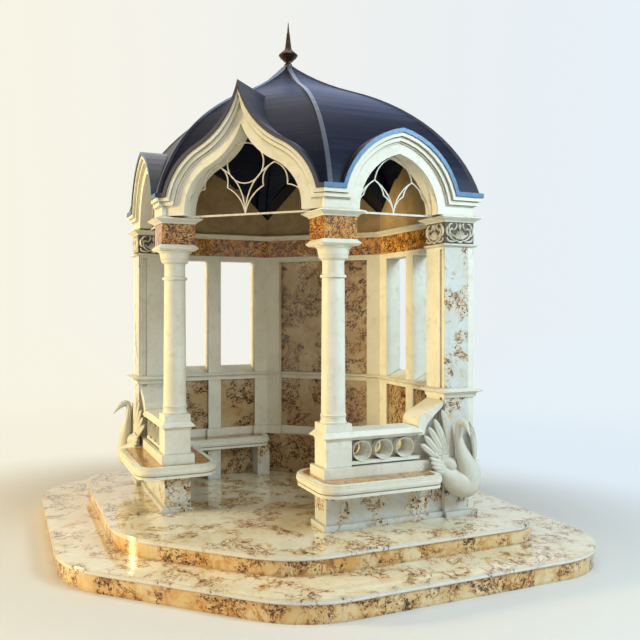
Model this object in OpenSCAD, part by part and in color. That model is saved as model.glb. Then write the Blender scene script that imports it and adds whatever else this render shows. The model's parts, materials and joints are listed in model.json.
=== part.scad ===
// Stone garden gazebo on two marble steps. The plan is a square whose front and back corners are cut,
// so it has a narrow front and back and four long sides that meet in a pier at the left and right.
// Keel-shaped and pointed arches carry a metal dome. The origin is at the centre of the plan, on the
// ground, +Z is up and the front opening faces -Y. Right-hand pieces are drawn and mirrored to the left.

/* [Plan] */
// Distance between opposite outer wall faces of the square
plan_w = 2800; // [2700:10:2950]
// Length cut off each wall at the front and back corners
corner_cut = 1200; // [1150:10:1250]
// Side of the square column blocks and corner piers
block_w = 330; // [310:5:345]
// Thickness of the window walls
wall_t = 177; // [160:1:200]
// Thickness of the back wall
back_wall_t = 128; // [115:1:150]
// Thickness of the low walls, and side of the square pedestals on them
low_wall_t = 258; // [240:2:280]

/* [Steps] */
// Rise of the lower step
lower_rise = 190; // [150:5:220]
// Rise of the upper step
upper_rise = 170; // [140:5:200]
// Thickness of the marble treads
tread_t = 42; // [34:1:55]
// Overhang of a tread past its riser
nosing = 22; // [12:1:35]
// Reach of the upper step past the long walls
upper_reach = 520; // [450:10:600]
// Reach of the upper step past the front and back
upper_reach_front = 730; // [650:10:800]
// Going of the lower step along the long walls
lower_going = 480; // [380:10:560]
// Going of the lower step at the front and back
lower_going_front = 390; // [320:10:460]

/* [Heights above the floor] */
// Top of the bench seats
bench_z = 471; // [430:1:500]
// Thickness of a bench seat with its lower plate
bench_t = 116; // [100:1:130]
// Top of the pedestal foot
foot_z = 565; // [545:1:580]
// Underside of the pedestal cap and the balustrade rail
cap_z = 808; // [785:1:830]
// Top of the pedestal, where the column starts
pedestal_z = 958; // [930:1:985]
// Underside of the moulding that rings the walls and piers
dado_z = 1150; // [1100:5:1190]
// Height of that moulding
dado_h = 88; // [70:1:100]
// Bottom of the windows at the outer face
sill_z = 1310; // [1280:5:1400]
// Top of the windows
window_z = 2580; // [2500:5:2590]
// Top of the column capitals, where the marble frieze starts
frieze_z = 2638; // [2620:1:2680]
// Top of the marble frieze, where the cornice starts
cornice_z = 2843; // [2800:1:2860]
// Top of the cornice, where the arches spring
spring_z = 2912; // [2890:1:2940]
// Height of the eave above the arches' springing
eave_h = 216; // [196:2:240]

/* [Windows] */
// Width of the mullion between a wall's two windows
mullion_w = 152; // [130:2:180]
// Distance from the pier to the nearer window
pier_jamb = 89; // [75:1:110]
// Distance from the cut corner to the nearer window
corner_jamb = 165; // [150:1:180]
// Width of the pilasters at the inner corners
pilaster_w = 160; // [140:2:175]
// Depth of the marble panels below the face of the pilasters
panel_inset = 40; // [30:1:60]

/* [Benches and balustrades] */
// Reach of a bench outside the low wall
bench_out = 250; // [220:5:270]
// Reach of a bench past the inside of the low wall
bench_in = 276; // [240:2:300]
// Depth of the bench along a window wall
back_bench_d = 250; // [220:2:280]
// Width of the white rim around the marble seat
rim_w = 62; // [50:1:75]
// Outer diameter of the stone rings in the balustrade
ring_d = 188; // [176:1:198]
// Diameter of the holes through those rings
ring_hole_d = 135; // [115:1:150]
// Distance between the ring centres
ring_pitch = 226; // [210:1:232]
// Height of a swan from its breast to its highest feather
swan_h = 800; // [700:10:850]

/* [Columns] */
// Diameter of a column shaft at its foot
shaft_d = 225; // [200:1:240]
// Diameter of a column shaft under its capital
neck_d = 210; // [190:1:220]

/* [Arches] */
// Width of plain face beside the front opening, up to the cut corner
front_jamb = 232; // [222:1:250]
// Distance from a pier or column block to the arch it carries
side_jamb = 50; // [40:1:70]
// Radius of the round haunch of the front and back arches
haunch_r = 483; // [465:1:500]
// Height of the tip of the front opening above the springing
keel_h = 835; // [805:5:855]
// Distance from the middle of a side opening to the centre of each of its two arcs
side_point = 140; // [115:1:165]
// Width of the moulded ring around each opening
ring_w = 185; // [170:1:195]
// Thickness of the arches behind their plain face
arch_t = 222; // [200:2:240]
// Reach of the outermost arch moulding past the plain face
crown_out = 60; // [45:1:75]
// Thickness of the metal roof over each arch
metal_t = 38; // [30:1:46]
// Height of the metal edge along the eave
edge_h = 44; // [34:1:54]
// Thickness of the white bars of the tracery
bar_t = 10; // [8:1:16]

/* [Dome] */
// Thickness of the dome shell
dome_t = 50; // [40:1:60]
// Depth of the rafters under its hips
rafter_d = 70; // [50:1:80]
// Radius of the dome's bulging flank
flank_r = 1676; // [1650:2:1710]
// Radius of the hollow curve up to the tip
tip_r = 1598; // [1560:2:1650]
// Diameter of the ball on the finial
ball_d = 205; // [180:1:220]
// Height of the finial above the dome
finial_h = 450; // [400:5:500]

/* [Hidden] */

// Steps in a quarter turn of an arc drawn as straight facets
arc_steps = 12;
fine = 48;
root2 = sqrt(2);

// ---- plan ----
half_w = plan_w / 2;
cut_y = half_w * root2 - corner_cut / root2;
front_half = corner_cut / root2;
wall_x0 = corner_cut - half_w;
opening_x0 = wall_x0 + block_w;
opening_x1 = half_w - block_w;
arch_shift = 25;
opening_mid = (opening_x0 + opening_x1) / 2 - arch_shift;
side_half_w = (opening_x1 - opening_x0) / 2 - side_jamb;
front_half_w = front_half - front_jamb;
block_mid = wall_x0 + block_w / 2;
outer_corner = [front_half, -cut_y];
inner_y = cut_y - back_wall_t;
inner_side = half_w - wall_t;
inner_corner = [inner_side * root2 - inner_y, -inner_y];
mitre = [sin(22.5), -cos(22.5)];
far = plan_w;

// ---- heights above the ground ----
floor_z = lower_rise + upper_rise;
bench_under = bench_z - bench_t;
inlay_t = 12;
skirt_h = 54;
skirt_out = 28;
dado_top = dado_z + dado_h;
eave_z = spring_z + eave_h;
abacus_t = 59;

module right_wall_frame() {
    rotate([0, 0, 45]) translate([0, -half_w, floor_z]) children();
}
module front_frame() {
    translate([0, -cut_y, floor_z]) children();
}
module left_copy() {
    mirror([1, 0, 0]) children();
}
module back_copy() {
    mirror([0, 1, 0]) children();
}

function arc(c, r, a0, a1, n = arc_steps) =
    [for (i = [0 : n]) c + r * [cos(a0 + (a1 - a0) * i / n), sin(a0 + (a1 - a0) * i / n)]];

// A box from one corner to the other
module block(a, b) {
    translate(a) cube(b - a);
}
// A profile of [outward, height] points run along x, outward being -y
module run_x(profile, x0, x1) {
    translate([x0, 0, 0]) rotate([90, 0, 90])
        linear_extrude(height = x1 - x0) polygon([for (p = profile) [-p[0], p[1]]]);
}
// The same profile mitred around a square of half side h centred on the axis
module square_mould(profile, h) {
    shape = concat([for (p = profile) [h + p[0], p[1]]],
        [for (i = [len(profile) - 1 : -1 : 0]) [-h - profile[i][0], profile[i][1]]]);
    length = 2 * h + 400;
    intersection() {
        rotate([90, 0, 0]) translate([0, 0, -length / 2]) linear_extrude(height = length) polygon(shape);
        rotate([90, 0, 90]) translate([0, 0, -length / 2]) linear_extrude(height = length) polygon(shape);
    }
}

// ---- mouldings, as [outward, height] from bottom to top ----
// Cap: a hollow under a sharp edge, with a sloping top
function cap_profile(z0, h, out) = concat([[0, z0], [out * 0.12, z0], [out * 0.12, z0 + h * 0.08]],
    [for (i = [1 : 5]) [out * (0.12 + 0.74 * (1 - cos(i * 18))), z0 + h * (0.08 + 0.27 * sin(i * 18))]],
    [[out, z0 + h * 0.37], [out, z0 + h * 0.47], [out * 0.1, z0 + h], [0, z0 + h]]);
// Cornice: a double curve between two fillets, with a sloping top
function cornice_profile(z0, h, out) = concat([[0, z0], [out * 0.16, z0], [out * 0.16, z0 + h * 0.14]],
    [for (i = [0 : 8]) [out * (0.24 + 0.58 * (1 - cos(i * 22.5)) / 2), z0 + h * (0.14 + 0.42 * i / 8)]],
    [[out, z0 + h * 0.6], [out, z0 + h * 0.74], [out * 0.2, z0 + h], [0, z0 + h]]);
// Band of the dado: fillet, hollow, and a sloping top
function dado_profile(out) = concat([[0, dado_z], [out * 0.25, dado_z], [out * 0.25, dado_z + dado_h * 0.2]],
    [for (i = [1 : 5]) [out * (0.25 + 0.6 * (1 - cos(i * 18))), dado_z + dado_h * (0.2 + 0.4 * sin(i * 18))]],
    [[out, dado_z + dado_h * 0.66], [out, dado_z + dado_h * 0.78], [0, dado_top]]);

// ================= steps =================
function step_corner(c, r, a0, a1) = arc(c, r, a0, a1, 10);
// Outline with half side h, half depth d at the cut corners, and rounded corners, drawn in by inset
module step_outline(h, d, r_cut, r_end, inset = 0) {
    cut_c = [(h - r_cut) * root2 - (d - r_cut), d - r_cut];
    end_c = [(h - r_end) * root2, 0];
    cut_r = r_cut - inset;
    end_r = r_end - inset;
    polygon(concat(
        step_corner([cut_c[0], -cut_c[1]], cut_r, -90, -45), step_corner(end_c, end_r, -45, 45),
        step_corner(cut_c, cut_r, 45, 90), step_corner([-cut_c[0], cut_c[1]], cut_r, 90, 135),
        step_corner(-end_c, end_r, 135, 225), step_corner(-cut_c, cut_r, 225, 270)));
}
upper_half = half_w + upper_reach;
upper_deep = cut_y + upper_reach_front;
lower_half = upper_half + lower_going;
lower_deep = upper_deep + lower_going_front;
module upper_outline(inset = 0) {
    step_outline(upper_half, upper_deep, 950, 400, inset);
}
module lower_outline(inset = 0) {
    step_outline(lower_half, lower_deep, 1000, 700, inset);
}
// Heights and insets of the layers that round a tread's edge
nose_layers = [[0, 0.1, 12], [0.1, 0.26, 5], [0.26, 0.74, 0], [0.74, 0.9, 5], [0.9, 1, 12]];
module lower_step() {
    color("burlywood") linear_extrude(height = lower_rise - tread_t) lower_outline(nosing);
}
module lower_tread() {
    color("wheat") for (n = nose_layers)
        translate([0, 0, lower_rise - tread_t + n[0] * tread_t])
            linear_extrude(height = (n[1] - n[0]) * tread_t) lower_outline(n[2]);
}
module upper_step() {
    color("burlywood") translate([0, 0, lower_rise])
        linear_extrude(height = upper_rise - tread_t) upper_outline(nosing);
}
module floor_slab() {
    color("wheat") for (n = nose_layers)
        translate([0, 0, floor_z - tread_t + n[0] * tread_t])
            linear_extrude(height = (n[1] - n[0]) * tread_t) upper_outline(n[2]);
}

// ================= low walls and benches =================
bench_x1 = opening_x1 - 140;
low_end_x = bench_x1 - 110;
low_y0 = block_w / 2 - low_wall_t / 2;
low_y1 = low_y0 + low_wall_t;
low_x0 = block_mid - low_wall_t / 2;
low_x1 = low_x0 + low_wall_t;
ledge_set = 15;
module right_low_wall() {
    color("bisque") right_wall_frame() {
        block([low_x0, low_y0, 0], [low_end_x, low_y1, bench_under]);
        block([low_end_x, low_y0 + ledge_set, 0], [opening_x1, low_y1, bench_under]);
        block([low_x0 - skirt_out, low_y0 - skirt_out, 0], [low_end_x, low_y1 + skirt_out, skirt_h]);
        block([low_end_x, low_y0 + ledge_set - skirt_out, 0], [opening_x1, low_y1 + skirt_out, skirt_h]);
    }
}

bench_x0 = wall_x0 - 105;
bench_y0 = -bench_out;
bench_y1 = low_y1 + bench_in;
back_bench_x = inner_side - back_bench_d;
back_bench_end = half_w - wall_x0 - 35;
end_r = 200;
nose_r = 120;
// Seat outline: around the column, along the low wall and back along the window wall
module bench_outline(inset = 0) {
    polygon(concat(
        arc([bench_x0 + end_r, bench_y0 + end_r], end_r - inset, 180, 270),
        arc([bench_x1 - nose_r, bench_y0 + nose_r], nose_r - inset, 270, 360),
        [[bench_x1 - inset, low_y0 + inset], [opening_x1, low_y0 + inset], [opening_x1, block_w],
            [inner_side, block_w], [inner_side, back_bench_end - inset]],
        arc([back_bench_x + nose_r, back_bench_end - nose_r], nose_r - inset, 90, 180),
        [[back_bench_x + inset, bench_y1 - inset]],
        arc([bench_x0 + end_r, bench_y1 - end_r], end_r - inset, 90, 180)));
}
seat_t = 82;
plate_t = 28;
plate_set = 14;
gap_set = 30;
// Heights and insets of the layers that round the seat's edge
seat_nose = [[0, 0.12, 16], [0.12, 0.3, 6], [0.3, 0.7, 0], [0.7, 0.88, 6], [0.88, 1, 16]];
module right_bench() {
    color("ivory") right_wall_frame() {
        translate([0, 0, bench_under]) linear_extrude(height = plate_t) bench_outline(plate_set);
        translate([0, 0, bench_under + plate_t])
            linear_extrude(height = bench_t - seat_t - plate_t) bench_outline(gap_set);
        difference() {
            for (n = seat_nose)
                translate([0, 0, bench_z - seat_t + n[0] * seat_t])
                    linear_extrude(height = (n[1] - n[0]) * seat_t) bench_outline(n[2]);
            translate([0, 0, bench_z - inlay_t]) linear_extrude(height = inlay_t + 1) bench_outline(rim_w);
        }
    }
}
module right_bench_top() {
    color("peru") right_wall_frame() translate([0, 0, bench_z - inlay_t])
        linear_extrude(height = inlay_t) bench_outline(rim_w);
}
leg_w = 150;
leg_set = 40;
leg_ys = [back_bench_end - 15 - leg_w, block_w + 460];
module right_bench_legs() {
    color("bisque") right_wall_frame() for (y = leg_ys)
        block([back_bench_x + leg_set, y, 0], [inner_side, y + leg_w, bench_under]);
}

// ================= pedestals, balustrades and columns =================
foot_out = 34;
cap_h = 78;
cap_out = 40;
module pedestal_cap() {
    translate([block_mid, block_w / 2, 0]) square_mould(cap_profile(cap_z, cap_h, cap_out), low_wall_t / 2);
}
module right_pedestal() {
    color("ivory") right_wall_frame() {
        block([low_x0 - foot_out, low_y0 - foot_out, bench_z], [low_x1, low_y1 + foot_out, foot_z]);
        block([low_x0, low_y0, foot_z], [low_x1, low_y1, pedestal_z]);
        pedestal_cap();
    }
}
rail_out = 36;
rail_ridge = 18;
rail_end_x = low_end_x + 8;
ring_gap = 13;
panel_set = 90;
ring_rim = 5;
funnel_h = 75;
sill_set = 10;
sill_z0 = foot_z + 14;
sill_z1 = foot_z + 46;
end_set = 90;
ring_z = (foot_z + cap_z) / 2 + 16;
// A shape of [along, height] points that runs through the whole depth of the balustrade
module across_wall(out, points) {
    translate([0, low_y1 + out, 0]) rotate([90, 0, 0])
        linear_extrude(height = low_wall_t + 2 * out) polygon(points);
}
// Rail with the cap's profile on both sides and around its free end
module balustrade_rail() {
    side = cap_profile(cap_z, cap_h, rail_out);
    top = cap_z + cap_h + rail_ridge;
    mid = low_y0 + low_wall_t / 2;
    section = concat([for (p = side) [low_y0 - p[0], p[1]]], [[mid, top]],
        [for (i = [len(side) - 1 : -1 : 0]) [low_y1 + side[i][0], side[i][1]]]);
    intersection() {
        translate([low_x1, 0, 0]) rotate([90, 0, 90])
            linear_extrude(height = rail_end_x + rail_out - low_x1) polygon(section);
        across_wall(2 * rail_out, concat([[low_x1, top + 1], [low_x1, cap_z]],
            [for (p = side) [rail_end_x - rail_out + p[0], p[1]]], [[rail_end_x - rail_out * 3, top + 1]]));
    }
}
// Hole through a ring, centred on the origin, that opens out like a funnel at both faces
module ring_hole() {
    cylinder(d = ring_hole_d, h = low_wall_t, center = true, $fn = fine);
    for (face = [0, 1]) mirror([0, 0, face]) {
        translate([0, 0, low_wall_t / 2 - funnel_h])
            cylinder(d1 = ring_hole_d, d2 = ring_d - 2 * ring_rim, h = funnel_h, $fn = fine);
        translate([0, 0, low_wall_t / 2]) cylinder(d = ring_d - 2 * ring_rim, h = 1, $fn = fine);
    }
}
module right_balustrade() {
    rings = [for (i = [0 : 2]) low_x1 + ring_gap + ring_d / 2 + i * ring_pitch];
    color("ivory") right_wall_frame() {
        block([low_x1, low_y0 - foot_out, bench_z], [low_end_x, low_y1 + foot_out, foot_z]);
        block([low_end_x, low_y0 - foot_out + ledge_set, bench_z], [opening_x1, low_y1 + foot_out, foot_z]);
        difference() {
            union() {
                block([low_x1, low_y0 + panel_set, foot_z], [low_end_x, low_y1 - panel_set, cap_z]);
                block([low_x1, low_y0 + sill_set, sill_z0], [low_end_x, low_y1 - sill_set, sill_z1]);
                intersection() {
                    for (x = rings) translate([x, low_y0, ring_z]) rotate([-90, 0, 0])
                        cylinder(d = ring_d, h = low_wall_t, $fn = fine);
                    block([low_x1, low_y0, foot_z], [low_end_x, low_y1, cap_z + 1]);
                }
            }
            for (x = rings) translate([x, low_y0 + low_wall_t / 2, ring_z]) rotate([90, 0, 0]) ring_hole();
        }
        difference() {
            balustrade_rail();
            pedestal_cap();
        }
        rail_scroll();
    }
}
scroll_x = rail_end_x - 41;
scroll_z = cap_z + 2;
scroll_w = 70;
scroll_r = 75;
scroll_turn = 118.5;
scroll_in_r = 180;
scroll_in_turn = 131;
// Point where the straight line that leaves an arc at p, turned to the angle a, meets the pier
function at_pier(p, a) = [opening_x1, p[1] + (opening_x1 - p[0]) * tan(a - 90)];
// Curved strap that rises from the rail to the pier, and the block set back beneath it
module rail_scroll() {
    outer = arc([scroll_x + scroll_r, scroll_z + 115], scroll_r, 180, scroll_turn, 6);
    inner = arc([scroll_x + scroll_w + scroll_in_r, scroll_z], scroll_in_r, scroll_in_turn, 180, 6);
    under = at_pier(inner[0], scroll_in_turn);
    across_wall(rail_out / 2, concat([[scroll_x, scroll_z]], outer,
        [at_pier(outer[6], scroll_turn), under], inner));
    across_wall(-end_set, concat([[low_end_x, foot_z], [low_end_x, scroll_z]],
        [for (i = [6 : -1 : 0]) inner[i]], [under, [opening_x1, foot_z]]));
}

// Half profile of the column as [radius, height]
column_profile = let (r0 = shaft_d / 2, r1 = neck_d / 2, b = pedestal_z, top = frieze_z - abacus_t) concat(
    [[0, b], [r0 + 10, b], [r0 + 10, b + 16], [r0 + 3, b + 26], [r0 + 2, b + 56]],
    arc([r0 + 2, b + 63], 6, -80, 80, 4), arc([r0 + 2, b + 76], 6, -80, 80, 4),
    [[r0, b + 92], [r1, top - 289], [r1 + 4, top - 286], [r1 + 18, top - 286]],
    arc([r1 + 8, top - 272], 11, -40, 70, 5),
    [[r1 - 3, top - 254], [r1 - 3, top - 149]],
    [for (i = [1 : 5]) [r1 - 3 + 24 * (1 - cos(i * 18)), top - 149 + 32 * sin(i * 18)]],
    [[r1 + 24, top - 114], [r1 + 33, top - 85], [r1 + 30, top - 83], [r1 + 33, top - 81],
        [r1 + 41, top - 48]],
    [for (i = [1 : 5]) [r1 + 41 + 22 * (1 - cos(i * 18)), top - 48 + 36 * sin(i * 18)]],
    [[r1 + 65, top - 8], [r1 + 65, top], [0, top]]);
module right_column() {
    under = frieze_z - abacus_t;
    color("ivory") right_wall_frame() translate([block_mid, block_w / 2, 0]) {
        rotate_extrude($fn = fine) polygon(column_profile);
        square_mould([[-30, under], [7, under], [30, under + 20], [30, under + 27],
            [0, frieze_z], [-30, frieze_z]], block_w / 2);
    }
}
module right_column_frieze() {
    color("sienna") right_wall_frame()
        block([wall_x0, 0, frieze_z], [opening_x0, block_w, cornice_z]);
}
cornice_out = 64;
// Cornice right round a square block whose middle is at x along the wall
module block_cornice(x) {
    profile = cornice_profile(cornice_z, spring_z - cornice_z, cornice_out);
    translate([x, block_w / 2, 0])
        square_mould(concat([[-block_w / 4, cornice_z]], profile, [[-block_w / 4, spring_z]]), block_w / 2);
}
module right_column_cornice() {
    color("ivory") right_wall_frame() block_cornice(block_mid);
}

// ================= corner piers =================
pier_mid = half_w - block_w / 2;
facing_t = 15;
dado_out = 70;
channel_w = 49;
channel_x = 41;
channel_d = 18;
pier_cap_h = 33;
// Plain strip at the outer corner, where the marble stops
edge_strip = 62;
module right_pier() {
    color("oldlace") right_wall_frame() {
        difference() {
            union() {
                block([opening_x1, facing_t, 0], [half_w - facing_t, block_w, frieze_z]);
                block([half_w - edge_strip, 0, 0], [half_w, edge_strip, frieze_z]);
            }
            // shallow channels beside the marble, on the face towards the opening
            for (z = [[bench_z, dado_z], [dado_top, window_z]])
                block([opening_x1 - 1, channel_x, z[0]], [opening_x1 + channel_d, channel_x + channel_w, z[1]]);
        }
        difference() {
            translate([pier_mid, block_w / 2, 0]) {
                square_mould(concat([[-60, dado_z]], dado_profile(dado_out), [[-60, dado_top]]), block_w / 2);
                square_mould([[-60, frieze_z - pier_cap_h], [8, frieze_z - pier_cap_h], [34, frieze_z - 18],
                    [34, frieze_z - 12], [4, frieze_z], [-60, frieze_z]], block_w / 2);
            }
            // the mouldings stop where the window wall meets the pier
            block([opening_x1 - far, block_w, dado_z - 1], [inner_side, block_w + far, frieze_z + 1]);
            block([inner_side - 1, block_w, dado_z - 1], [half_w, block_w + far, frieze_z + 1]);
        }
        block_cornice(pier_mid);
    }
}
module facing_part(z0, z1) {
    block([opening_x1, 0, z0], [half_w - edge_strip, facing_t, z1]);
    block([half_w - facing_t, edge_strip, z0], [half_w, block_w, z1]);
}
module right_pier_facing() {
    color("bisque") right_wall_frame() {
        facing_part(0, dado_z);
        facing_part(dado_top, frieze_z - pier_cap_h);
        difference() {
            block([opening_x1, -skirt_out, 0], [half_w + skirt_out, block_w, skirt_h]);
            block([opening_x1 - 1, 0, -1], [half_w, block_w + 1, skirt_h + 1]);
        }
    }
}
module right_pier_frieze() {
    color("ivory") right_wall_frame()
        block([opening_x1, 0, frieze_z], [half_w, block_w, cornice_z]);
}

// ================= swans =================
// A swan is drawn 800 high, with its origin under its breast on the wall face, and then scaled to swan_h
swan_x = pier_mid - 105;
swan_under = 251;
module right_swan() {
    color("ivory") right_wall_frame() translate([swan_x, 0, bench_z - swan_under]) scale(swan_h / 800)
        difference() {
            union() {
                swan_body();
                swan_neck();
                swan_wing();
                swan_far_wing();
            }
            block([-far, 0, -far], [far, far, far]);
        }
}
module swan_body() {
    hull() {
        translate([35, -125, 112]) sphere(r = 112, $fn = 24);
        translate([-62, -62, 250]) sphere(r = 112, $fn = 24);
        translate([122, -112, 240]) sphere(r = 112, $fn = 24);
        translate([58, -116, 330]) sphere(r = 88, $fn = 24);
    }
}
// Places and radii down the neck, over the head and to the tip of the bill
neck_path = [[62, -120, 370, 68], [50, -118, 470, 44], [43, -110, 570, 35], [46, -106, 648, 32],
    [66, -114, 680, 36], [98, -128, 672, 27], [124, -140, 600, 10]];
module swan_neck() {
    for (i = [0 : len(neck_path) - 2]) hull() for (p = [neck_path[i], neck_path[i + 1]])
        translate([p[0], p[1], p[2]]) sphere(r = p[3], $fn = 16);
}
// Half width of a pointed oval feather, of half width 1, at the share s of its length
function feather_half(s) = pow(sin(180 * (0.12 + 0.88 * pow(s, 1.25))), 0.8);
// Feather that stands on the origin
module feather(length, half) {
    side = [for (i = [0 : 7]) [half * feather_half(i / 8), length * i / 8]];
    polygon(concat(side, [[0, length]], [for (i = [7 : -1 : 0]) [-side[i][0], side[i][1]]]));
}
// Fan of flat feathers along the wall, the shorter ones over them, and the shoulder that holds both
module swan_wing() {
    for (i = [0 : 4]) translate([-62, -30 - 3 * i, 300]) rotate([90, -10 - 11.5 * i, 0])
        linear_extrude(height = 20) feather(508 - 36 * i, 43);
    for (i = [0 : 3]) translate([-58, -46 - 3 * i, 290]) rotate([90, -16 - 15 * i, 0])
        linear_extrude(height = 22) feather(225 - 14 * i, 38);
    translate([-58, 0, 290]) rotate([90, 0, 0]) cylinder(r = 84, h = 65, $fn = 24);
}
// The other wing, seen edge on round the pier's corner
module swan_far_wing() {
    translate([205, -40, 190]) rotate([90, -4, 0]) linear_extrude(height = 50) feather(450, 34);
}

// ================= window walls =================
// Distances along a window wall, from its corner with the back wall to the pier
window_w = (opening_x1 - wall_x0 - pier_jamb - mullion_w - corner_jamb) / 2;
window_xs = [wall_x0 + corner_jamb, opening_x1 - pier_jamb - window_w];
// Plan of one side wall up to the mitre with the front or back, in the right-hand front quarter
module side_sector() {
    polygon([outer_corner + far * mitre, outer_corner, inner_corner, inner_corner - sector_in * mitre,
        [inner_corner[0], 0], [half_w * root2 + far, 0]]);
}
module front_sector() {
    a = outer_corner + far * mitre;
    b = inner_corner - sector_in * mitre;
    polygon([a, outer_corner, inner_corner, b, [0, -sector_in], [-b[0], b[1]],
        [-inner_corner[0], inner_corner[1]], [-outer_corner[0], outer_corner[1]], [-a[0], a[1]]]);
}
module in_side_sector() {
    intersection() {
        children();
        linear_extrude(height = 2 * far) side_sector();
    }
}
module in_front_sector() {
    intersection() {
        children();
        linear_extrude(height = 2 * far) front_sector();
    }
}
sector_in = 300;
dado_in_out = 38;
dado_in_drop = 18;
sill_drop = 90;
foot_in_out = 24;
panel_t = 14;
// Ranges along the wall that stand proud as pilasters
side_pilasters = [[wall_x0 - 60, window_xs[0]], [window_xs[0] + window_w, window_xs[1]],
    [window_xs[1] + window_w, opening_x1]];
// Inner dado moulding on a wall face at depth y
module inner_dado(y, x0, x1) {
    translate([0, y, 0]) mirror([0, 1, 0])
        run_x(concat([[-20, dado_z]], dado_profile(dado_in_out), [[-20, dado_top - dado_in_drop]]), x0, x1);
}
module right_back_wall() {
    recess_y = wall_t - panel_inset;
    color("oldlace") back_copy() in_side_sector() right_wall_frame() {
        difference() {
            block([wall_x0 - 100, 0, 0], [opening_x1, recess_y, frieze_z]);
            for (x = window_xs) {
                block([x, -1, sill_z], [x + window_w, wall_t + 1, window_z]);
                // the sill falls towards the room
                translate([x, 0, sill_z]) rotate([90, 0, 90]) linear_extrude(height = window_w)
                    polygon([[0, 0], [wall_t, -sill_drop], [wall_t, 1], [0, 1]]);
            }
        }
        for (r = side_pilasters) {
            block([r[0], recess_y, bench_z], [r[1], wall_t, window_z]);
            block([r[0] - 20, wall_t, bench_z], [min(r[1] + 20, opening_x1), wall_t + foot_in_out, foot_z]);
        }
        for (x = window_xs)
            block([x, recess_y, bench_z], [x + window_w, recess_y + foot_in_out, foot_z]);
        block([wall_x0 - 100, recess_y, 0], [opening_x1, wall_t - panel_t, bench_z]);
        block([wall_x0 - 100, recess_y, dado_z], [opening_x1, wall_t, sill_z - sill_drop]);
        block([wall_x0 - 100, recess_y, window_z], [opening_x1, wall_t, frieze_z]);
        inner_dado(wall_t, wall_x0 - 100, opening_x1);
        // outer moulding and skirting
        run_x(concat([[-20, dado_z]], dado_profile(dado_out), [[-20, dado_top]]), wall_x0 - 200, opening_x1);
        block([wall_x0 - 200, -skirt_out, 0], [opening_x1, 1, skirt_h]);
    }
}

back_half = front_half + 100;
recess_x = inner_corner[0] - pilaster_w;
recess_d = 85;
module back_wall() {
    recess_y = back_wall_t - recess_d;
    color("oldlace") back_copy() in_front_sector() front_frame() {
        difference() {
            block([-back_half, 0, 0], [back_half, back_wall_t, frieze_z]);
            block([-recess_x, recess_y, bench_z], [recess_x, back_wall_t + 1, window_z]);
            block([-back_half - 1, back_wall_t - panel_t, -1], [back_half + 1, back_wall_t + 1, bench_z]);
        }
        block([-recess_x, recess_y, bench_z], [recess_x, recess_y + foot_in_out, foot_z]);
        inner_dado(recess_y, -recess_x, recess_x);
        for (side = [0, 1]) mirror([side, 0, 0]) {
            inner_dado(back_wall_t, recess_x, recess_x + pilaster_w + 100);
            block([recess_x - 20, back_wall_t, bench_z], [back_half, back_wall_t + foot_in_out, foot_z]);
        }
        run_x(concat([[-20, dado_z]], dado_profile(dado_out), [[-20, dado_top]]), -back_half, back_half);
        block([-back_half, -skirt_out, 0], [back_half, 1, skirt_h]);
    }
}

// Shift of the low back slab that leaves an open joint at its mitred corners
slab_joint = 1.5;
// Marble slabs set in the walls: between the pilasters, and from the floor to the benches
module wall_panels() {
    y0 = wall_t - panel_inset;
    y1 = back_wall_t - recess_d;
    color("tan") {
        for (side = [0, 1]) mirror([side, 0, 0]) back_copy() {
            right_wall_frame() for (x = window_xs)
                block([x, y0, foot_z], [x + window_w, y0 + panel_t, dado_z]);
            in_side_sector() right_wall_frame()
                block([wall_x0 - 100, wall_t - panel_t, 0], [opening_x1, wall_t, bench_z]);
        }
        back_copy() front_frame() {
            block([-recess_x, y1, dado_top], [recess_x, y1 + panel_t, window_z]);
            block([-recess_x, y1, foot_z], [recess_x, y1 + panel_t, dado_z]);
        }
        back_copy() translate([0, -slab_joint, 0]) in_front_sector() translate([0, slab_joint, 0]) front_frame()
            block([-back_half, back_wall_t - panel_t, 0], [back_half, back_wall_t, bench_z]);
    }
}
frieze_set = 10;
frieze_in_set = 6;
module back_friezes() {
    color("sienna") {
        for (side = [0, 1]) mirror([side, 0, 0]) back_copy() in_side_sector() right_wall_frame()
            block([wall_x0 - 100, frieze_set, frieze_z], [opening_x1, wall_t - frieze_in_set, cornice_z]);
        back_copy() in_front_sector() front_frame()
            block([-back_half, frieze_set, frieze_z], [back_half, back_wall_t - frieze_in_set, cornice_z]);
    }
}

// ================= arches =================
// Distance of the plain arch faces behind the wall faces below them
side_face = 0;
front_face = 30;
arch_low = 32;
stone_eave = eave_z - edge_h;
// Pointed side arch, grown outward by d, as points from its right foot over the crown to its left foot
function side_arch(d) = let (r = side_half_w + side_point + d, a = acos(side_point / r)) concat(
    [[opening_mid + side_half_w + d, spring_z]],
    arc([opening_mid - side_point, spring_z], r, 0, a, 10),
    arc([opening_mid + side_point, spring_z], r, 180 - a, 180, 10));
// Keel arch: a round haunch, turned to the angle haunch_turn, under a hollow curve that rises to the tip.
// Each outer ring is flatter, so its haunch turns a little less and its tip stands tip_growth times higher.
haunch_turn = 64.9;
turn_drop = 0.0071;
tip_growth = 1.76;
haunch_x = front_half_w - haunch_r;
haunch_z = spring_z + arch_low;
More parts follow.
